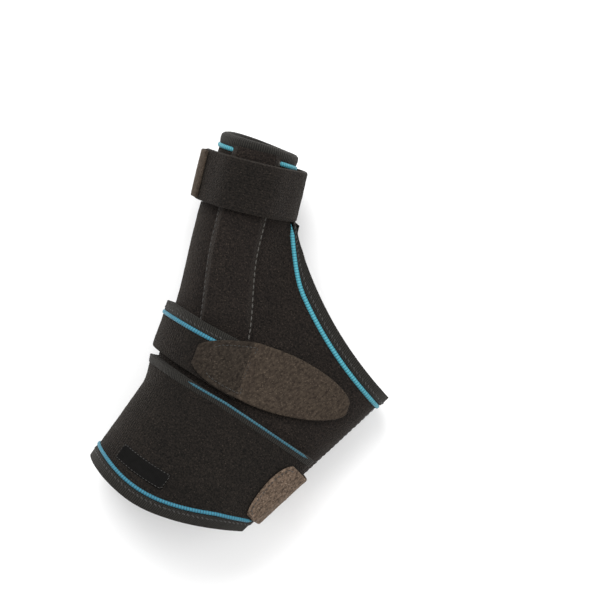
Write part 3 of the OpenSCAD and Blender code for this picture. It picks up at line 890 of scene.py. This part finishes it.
STAY_W, STAY_T, STAY_L = 12.0, 1.2, 66.0
STAY_CORNER = 6
STAY_LINES = 9  # lines along the stay, on each side of it
ROW = 2 * STAY_LINES
verts, faces = [], []
lengths = eased(0.0, STAY_L, STAY_L, 2.0, STAY_CORNER)
for x in lengths:
    corner = STAY_CORNER - min(x, STAY_L - x, STAY_CORNER)
    half = STAY_W / 2 - (STAY_CORNER - math.sqrt(max(0, STAY_CORNER**2 - corner**2))) * 0.97
    for t in np.linspace(-1, 1, STAY_LINES):
        for layer in (0, 1):
            y = t * half
            radius = ARCH_R + 0.75 + layer * STAY_T
            plan = THUMB_BASE + (POCKET_END - 1 - x) * THUMB_U + y * THUMB_N
            verts.append((*plan, TOP_LINE + POCKET_LIFT - ARCH_R + math.sqrt(radius**2 - y * y)))
for a in range(0, (len(lengths) - 1) * ROW, ROW):
    b, last = a + ROW, ROW - 2
    for j in range(0, last, 2):
        faces += [(a + j, b + j, b + j + 2, a + j + 2), (a + j + 1, a + j + 3, b + j + 3, b + j + 1)]
    faces += [(a, a + 1, b + 1, b), (a + last, b + last, b + last + 1, a + last + 1)]
for a, way in ((0, 1), ((len(lengths) - 1) * ROW, -1)):
    faces += [(a + j, a + j + 2, a + j + 3, a + j + 1)[::way] for j in range(0, ROW - 2, 2)]
stay = make_object("stay_strip", verts, faces, STAY_METAL, np.array(verts)[:, :2], smooth=False)
declare(stay, "stay", "stay", "stay")


# ---- Wrist wrap ----
WRAP_FROM = (-20, -38)  # angles at which the wrap is sewn on, at the cuff and at its top
TOP_TAPE_W = 3.6
# across_hinge's arguments for the wrap's pieces: bodies, joint, direction, reach and offset.
WRAP_HINGE = ("brace", "wrist_flap", "wrist_flap_lift", (0.98, 0.18, 0), 4.5, (3.4, 0.6, 0))


def wrap_from(ends, t):
    return mix(*WRAP_FROM, min(t, 1))


def edge_cord_from(ends, t):
    return phi_at(ends, WRAP_E, mix(*WRAP_SPLIT, t) + 3)


def fixed(angle):
    return lambda ends, t: angle


def at_x(x):
    """The angle of the line that lies x along the wrap's bearing."""
    return lambda ends, t: phi_at(ends, WRAP_E, x)


def wrap_edge(t0, t1, low=wrap_from, high=fixed(WRAP_END), count=170):
    return Edge(wrap_points(np.linspace(t0, t1, EDGE_ROWS), low, high, shares(count)))


wrap = sheet("wrap_cloth", wrap_points(eased(0.01, 0.985, 62, edge=1.3), wrap_from, fixed(WRAP_END),
        ticks(150, STEP, 1.3)), GAP, LAID_ON, WRAP, 1.3, texture=relief(1, 0.55, 60))
wrap_cuff = wrap_edge(0, 0.14)
wrap_cuff_tape = tape("wrap_cuff_tape", wrap_cuff, fold_over(BINDING_W, STRAP_T, 0.42, LAID_ON), BINDING, 0.05)
# The cuff cord takes the darker piping: painted shade.
wrap_cuff_cord = piping("wrap_cuff_cord", wrap_cuff, BINDING_W + PIPING_W / 2, LAID_ON + 0.05, 1.6, 0.8,
        SHADED_PIPING, (2, 3))
wrap_cuff_stitches = rim_stitches("wrap_cuff_stitches", wrap_cuff.line(BINDING_W - 1.5, LAID_ON + 0.42))
wrap_top_tape = tape("wrap_edge_tape", wrap_edge(1, 0.86), fold_over(TOP_TAPE_W, STRAP_T, 0.3, LAID_ON),
        BINDING, 0.04)
# The wrap's top edge cord takes the dullest piping: painted shade.
wrap_top_cord = piping("wrap_edge_cord", wrap_edge(1, 0.86, edge_cord_from, fixed(146), 120), 0.9, LAID_ON + 0.3,
        1.1, 0.4, SHADED_EDGE_PIPING, (3, 3))
label_points = wrap_points(np.linspace(0.165, 0.285, 22), at_x(-9.2), at_x(12.8), ticks(23, 0.9, 0.5))
label = sheet("woven_label", label_points, LAID_ON + 0.05, LAID_ON + 0.5, LABEL, 0.4)
label_edge = np.concatenate([label_points[1, 1:-1], label_points[1:-1, -2], label_points[-2, -2:0:-1],
        label_points[-2:0:-1, 1]])
label_stitches = stitches("label_stitches", label_edge + normals(label_edge) * (LAID_ON + 0.5), 1.5, 1.1, 0.3,
        DARK_THREAD, 0.25)
declare(wrap, "foam", WRAP_HINGE, "wrap_root", "wrap_flap", padded=True)
declare(wrap_cuff_tape, "binding", WRAP_HINGE, "wrap_cuff_binding", "wrap_root_binding")
declare(wrap_top_tape, "binding", WRAP_HINGE, "wrap_edge_binding")
declare(wrap_cuff_cord, "piping", WRAP_HINGE, "wrap_cuff_piping", "wrap_root_piping")
declare(wrap_top_cord, "piping", WRAP_HINGE, "wrap_edge_piping")
declare(wrap_cuff_stitches, "stitch", WRAP_HINGE)
declare(label_stitches, "stitch", WRAP_HINGE)
declare(label, "label", WRAP_HINGE, "size_label")


# ---- Wrist tab ----
WRIST_TAB_HINGE = ("wrist_flap", "wrist_tab", "wrist_tab_peel", (0.5, 0, -0.87), 3.0)


def wrist_tab_points(t, phi0, round0, phi1, round1, columns):
    """Grid over the tab from angle phi0 to phi1, its ends rounded by up to round0 and round1 degrees."""
    out = []
    for k in t:
        ends = row([-10, mix(-39, -9.5, k) - 6], [68, mix(-39, -9.5, k)])
        curve = 1 - math.sqrt(max(0, 1 - (2 * k - 1) ** 2))
        out.append(around(ends, mix(phi0 + round0 * curve, phi1 - round1 * curve, columns)))
    return np.array(out)


def wrist_tab_drop(points):
    """How far the tab sinks towards the panel once it is past the end of the wrap."""
    ends = row([-10, -30], [68, -24])
    across = (points[..., 0] - ends[0][0]) / (ends[1][0] - ends[0][0])
    phi = np.degrees(np.arccos(np.clip(1 - 2 * across, -1, 1)))
    phi = np.where(points[..., 2] < mid_z(points[..., :2]), 360 - phi, phi)
    return -(STRAP_T - 0.9) * ease((phi - WRAP_END - 2) / 14)


def fuzz(seed):
    return lambda p: 0.07 * noise(p, 4.5, seed) + 0.04 * noise(p, 1.2, seed + 1)


tab_t = eased(0.02, 0.98, 29, 0.8, 1.0)
# The wrist tab takes the lighter felt: painted light.
wrist_tab = sunk_sheet(wrist_tab_drop, "wrist_tab_cloth", wrist_tab_points(
    tab_t, 136, 10, 207, 12, ticks(52, 0.9, 1.0)), *TAB_SPAN, LIT_FELT, 0.9, fuzz(71))
wrist_hooks = sunk_sheet(wrist_tab_drop, "wrist_tab_hooks", wrist_tab_points(
    np.linspace(0.12, 0.88, 20), 172, 0, 203, 8, shares(20)), *HOOK_SPAN, HOOKS, 0.4)
inner = wrist_tab_points(mix(0.085, 0.915, shares(34)), 138.2, 9, 146, 0,
        np.array([0.0, 0.35, 0.7, 1.0]))
tab_seam = np.concatenate([inner[0, :0:-1], inner[:, 0], inner[-1, 1:]])
tab_stitches = stitches("wrist_tab_stitches", tab_seam + normals(tab_seam) * (TAB_LAYER + TAB_T + 0.02), 1.9, 1.4,
        0.4, DARK_THREAD, 0.3, jitter=0.2)
declare(wrist_tab, "tab", WRIST_TAB_HINGE, "wrist_tab_root", "wrist_tab")
declare(tab_stitches, "stitch", "wrist_flap")
declare(wrist_hooks, "hook", "wrist_tab", "wrist_hook_pad")


# ---- Strap over the root of the thumb ----
STRAP_FROM = -34
STRAP_CORD_TO = 3.0  # the cord disappears under the tab this far along the bearing
STRAP_ENDS = np.array([[20.5, -12.4], [8.2, 8.4]])
STRAP_TAPE_W = 4.6
STRAP_HINGE = ("brace", "thumb_root_strap", "strap_lift", (0.954, 0.299, 0), 3.5)


def strap_points(t, high, columns):
    """Grid over the strap's shares t, from its sewn side to angle high(ends, t)."""
    out = []
    for k in t:
        left = between([-21.2, -25.6], [-31.5, -7.2], k)
        right = between([22.2, -12.1], [9.2, 9.6], k) + 42 * WRAP_E
        ends = row(left, right)
        out.append(around(ends, mix(STRAP_FROM, high(ends, k), columns)))
    return np.array(out)


def strap_end(ends, t):
    return phi_at(ends, WRAP_E, WRAP_E @ mix(STRAP_ENDS[0], STRAP_ENDS[1], t))


def strap_edge(high, count):
    return Edge(strap_points(np.linspace(1, 0.5, EDGE_ROWS), high, shares(count)))


strap = sheet("root_strap_cloth", strap_points(eased(0.015, 0.985, 21, 0.9), strap_end, ticks(78, STEP, 1.2)),
        GAP, LAID_ON, WRAP, 1.2, texture=relief(1, 0.45, 80))
strap_tape = tape("root_strap_tape", strap_edge(strap_end, 110), fold_over(STRAP_TAPE_W, STRAP_T, 0.3, LAID_ON),
        BINDING, 0.05)
cord_edge = strap_edge(at_x(STRAP_CORD_TO), 90)
# The strap cord takes the darker piping: painted shade.
strap_cord = piping("root_strap_cord", cord_edge, STRAP_TAPE_W + PIPING_W / 2 - 0.1, LAID_ON + 0.03, 1.8, 0.8,
        SHADED_PIPING, (2, 5))
declare(strap, "foam", STRAP_HINGE, "strap_root", "strap", padded=True)
declare(strap_tape, "binding", STRAP_HINGE, "strap_root_binding", "strap_binding")
declare(strap_cord, "piping", STRAP_HINGE, "strap_root_piping", "strap_piping")
strap_stitches = rim_stitches("root_strap_stitches", cord_edge.line(3.2, LAID_ON + 0.32), 0.5, 0.35)
declare(strap_stitches, "stitch", STRAP_HINGE)


# ---- Leaf-shaped strap tab ----
LEAF_E = unit(31)
LEAF_F = np.array([-LEAF_E[1], LEAF_E[0]])
LEAF_ROOT = np.array([-5.5, -12.5])
LEAF_L = 68.5
LEAF_SPLIT = 24.0
LEAF_HINGE = ("thumb_root_strap", "strap_tab", "strap_tab_peel", (*LEAF_E, 0), 3.0)


def leaf_half(x):
    return 13 * np.sin(np.pi * (x / LEAF_L) ** 0.95) ** 0.45


def leaf_points(x, v):
    """Surface points at distances x along the leaf and shares v (1 to -1) across it."""
    x, v = np.meshgrid(x, v, indexing="ij")
    plan = LEAF_ROOT + x[..., None] * LEAF_E + (v * leaf_half(x))[..., None] * LEAF_F
    return lift(plan, np.ones_like(x))


def leaf_sink(points):
    """How far the leaf sinks towards the panel once it is past the end of the strap."""
    along = STRAP_ENDS[1] - STRAP_ENDS[0]
    across = np.array([along[1], -along[0]]) / np.linalg.norm(along)
    return -(STRAP_T - 0.8) * ease(((points[..., :2] - STRAP_ENDS[0]) @ across - 1.5) / 5)


round_v = np.sin(np.linspace(np.pi / 2, -np.pi / 2, 44))
round_x = 1.2 + (LEAF_L - 1.8) * (1 - np.cos(np.linspace(0, np.pi, 96))) / 2
SEAM_INSET = 2.3


def seam_bend(v):
    """Where the seam across the leaf lies, v millimetres from its middle line."""
    return LEAF_SPLIT - 1.8 + 1.4 * (v / 10) ** 2


def leaf_relief(points):
    """Felt that is pressed down along its two seams and puffs up a little between them."""
    plan = points[..., :2] - LEAF_ROOT
    x, v = plan @ LEAF_E, plan @ LEAF_F
    border = np.minimum(leaf_half(np.clip(x, 0.5, LEAF_L - 0.5)) - np.abs(v), x * 1.4 - 1.0) - SEAM_INSET
    border = np.where(x > seam_bend(v), 9, border)
    groove = np.exp(-(border / 0.7) ** 2) + np.exp(-((x - seam_bend(v)) / 0.7) ** 2)
    puff = 0.2 * ease(np.minimum(border, 4) / 4) * (x < LEAF_SPLIT)
    return fuzz(91)(points) - 0.4 * np.minimum(groove, 1) + puff


leaf = sunk_sheet(leaf_sink, "strap_tab_cloth", leaf_points(round_x, round_v), *TAB_SPAN, FELT, 0.9, leaf_relief)
# The part of the leaf before the cross seam takes the darker felt: painted shade on the same felt.
leaf.data.materials.append(SHADED_FELT)
split_at = (np.array([*LEAF_E, 0]) @ (np.array([*LEAF_ROOT, 0]) + HOME) + LEAF_SPLIT - 1.5) * MM
for face in leaf.data.polygons:
    face.material_index = int(face.center[0] * LEAF_E[0] + face.center[1] * LEAF_E[1] < split_at)
leaf_hooks = sunk_sheet(leaf_sink, "strap_tab_hooks", leaf_points(
    np.linspace(LEAF_SPLIT + 9.5, LEAF_L - 6, 30), np.linspace(0.82, -0.82, 24)), *HOOK_SPAN, HOOKS, 0.4)


def leaf_line(x, v):
    plan = LEAF_ROOT + x[:, None] * LEAF_E + v[:, None] * LEAF_F
    points = lift(plan, np.ones(len(x)))
    return points + normals(points) * (leaf_sink(points) + TAB_LAYER + TAB_T - 0.25)[:, None]


INSET_FROM = 3.4  # where the border seam starts, along the leaf
inset_x = INSET_FROM + (LEAF_SPLIT - 4.4) * (1 - np.cos(np.linspace(0, np.pi / 2, 30)))
inset_v = (leaf_half(inset_x) - SEAM_INSET) * np.sqrt(np.clip((inset_x - INSET_FROM) / 5, 0, 1))
border = np.concatenate([leaf_line(inset_x[::-1], inset_v[::-1]), leaf_line(inset_x[1:], -inset_v[1:])])
cross_v = np.linspace(10.4, -10.4, 24)
for name, line in (("border", border), ("cross_seam", leaf_line(seam_bend(cross_v), cross_v))):
    seam = stitches(f"strap_tab_{name}", line, 1.7, 1.3, 0.38, DARK_THREAD, 0.28, jitter=0.2)
    declare(seam, "stitch", "thumb_root_strap")
declare(leaf, "tab", LEAF_HINGE, "strap_tab_root", "strap_tab")
declare(leaf_hooks, "hook", "strap_tab", "strap_hook_pad")


# ---- Thumb strap: a band over the sleeve and the pocket ----
BAND_S = 62.5
BAND_W = 22.5
RING_R = THUMB_R0 - THUMB_RISE * BAND_S + 0.5
ARCH_TOP = 22.775
ARCH_HALF = 8.7
BAND_SOFTENING = ((-9, 0.12), (-6, 0.14), (-3, 0.16), (0, 0.16), (3, 0.16), (6, 0.14), (9, 0.12))
BAND_HINGE = ("brace", "thumb_band", "thumb_band_lift", tuple(OUTER - DOWN), 4.0)
THUMB_TAB_HINGE = ("thumb_band", "thumb_tab", "thumb_tab_peel", tuple(DOWN), 2.5)


def band_radius(angle, d):
    """Radius of a line d off the soft loop round the sleeve and the pocket, at angles from below."""
    return sum(w * taut_radius(np.asarray(angle) + a, d) for a, w in BAND_SOFTENING) + 0.35


def taut_radius(angle, d):
    turn = np.radians(np.arange(0, 360, 1.0))
    x = np.linspace(-ARCH_HALF, ARCH_HALF, 31)
    y = ARCH_TOP - ARCH_R - POCKET_H + np.sqrt((ARCH_R + POCKET_H) ** 2 - x * x)
    reach = np.maximum(RING_R, (-np.cos(turn)[:, None] * y + np.sin(turn)[:, None] * x).max(1)) + d
    away = np.cos(turn[None] - np.radians(np.ravel(angle))[:, None])
    return np.where(away > 0.2, reach[None] / np.maximum(away, 0.2), 1e3).min(1).reshape(np.shape(angle))


def band_sheet(name, angle, ahead, low, high, material, radius, texture=None):
    ahead, angle = np.broadcast_arrays(ahead, angle[:, None])
    radii = band_radius(angle[:, 0], 0.0), band_radius(angle[:, 0], 1.0)
    points, outer = (thumb_point(BAND_S, angle, np.broadcast_to(r[:, None], angle.shape), ahead) for r in radii)
    return sheet(name, points, low, high, material, radius, texture=texture, up=outer - points)


BAND_MID = BAND_W / 2
band = band_sheet("thumb_band_cloth", eased(314, 100, 80), eased(0.2, BAND_W - 0.2, 22)[None], 0.0, STRAP_T,
        WRAP, 1.1, relief(1.2, 0.5, 100))
tab_angle = eased(118, 50, 27, 0.9)
spread = np.sqrt(np.clip(1 - (np.clip((56 - tab_angle) / 6.5, 0, 1)) ** 2.2, 0.04, 1))
tab_ahead = BAND_MID + spread[:, None] * (eased(1, BAND_W - 1, 20, 0.9)[None] - BAND_MID)
thumb_tab = band_sheet("thumb_tab_cloth", tab_angle, tab_ahead, STRAP_T + 0.05, STRAP_T + TAB_T, FELT, 0.7,
        fuzz(111))
thumb_hooks = band_sheet("thumb_tab_hooks", np.linspace(96, 56, 20), np.linspace(3.5, 19, 16)[None], 2.0,
        STRAP_T - 0.02, HOOKS, 0.4)
declare(band, "foam", BAND_HINGE, "thumb_strap", "thumb_strap_root", padded=True)
declare(thumb_tab, "tab", THUMB_TAB_HINGE, "thumb_tab_root", "thumb_tab")
declare(thumb_hooks, "hook", "thumb_tab", "thumb_hook_pad")


# ---- Camera, light and floor ----
def area_light(name, place, target, power, size):
    light = bpy.data.lights.new(name, "AREA")
    light.energy = power
    light.size = size
    obj = bpy.data.objects.new(name, light)
    obj.location = place
    way = np.array(target) - np.array(place)
    obj.rotation_euler = Vector(way).to_track_quat("-Z", "Y").to_euler()
    bpy.context.scene.collection.objects.link(obj)


VIEW_CENTRE = at_home((5, 36, 25))
VIEW_WIDTH = 0.258
VIEW_HEIGHT = 1.2
ROLL = math.radians(51)

camera_data = bpy.data.cameras.new("camera")
camera_data.lens = camera_data.sensor_width * VIEW_HEIGHT / VIEW_WIDTH
camera = bpy.data.objects.new("camera", camera_data)
camera.location = (VIEW_CENTRE[0], VIEW_CENTRE[1], VIEW_CENTRE[2] + VIEW_HEIGHT)
camera.rotation_euler = (0, 0, ROLL)
bpy.context.scene.collection.objects.link(camera)
bpy.context.scene.camera = camera

FLOOR_HALF = 3
corners = [(x * FLOOR_HALF, y * FLOOR_HALF, 0) for x, y in ((-1, -1), (1, -1), (1, 1), (-1, 1))]
floor_mesh = bpy.data.meshes.new("floor")
floor_mesh.from_pydata(corners, [], [(0, 1, 2, 3)])
floor = bpy.data.objects.new("floor", floor_mesh)
bpy.context.scene.collection.objects.link(floor)
pale = Material("floor", roughness=0.9)
shades = pale.ramp(pale.noise(60, 2.0), (0, grey(0.9)), (1, grey(0.92)))
floor.data.materials.append(pale.finish(shades, pale.noise(3, 1.0), 0.01))

world = bpy.data.worlds.new("world")
world.use_nodes = True
sky = world.node_tree.nodes["Background"]
sky.inputs["Color"].default_value = grey(1)
sky.inputs["Strength"].default_value = 0.85
bpy.context.scene.world = world
area_light("key", (-0.7, 0.35, 1.0), (0, 0, 0.03), 14, 0.8)
area_light("fill", (0.6, 0.5, 0.9), (0, 0, 0.03), 6, 1.0)
bpy.context.scene.view_settings.view_transform = "Standard"
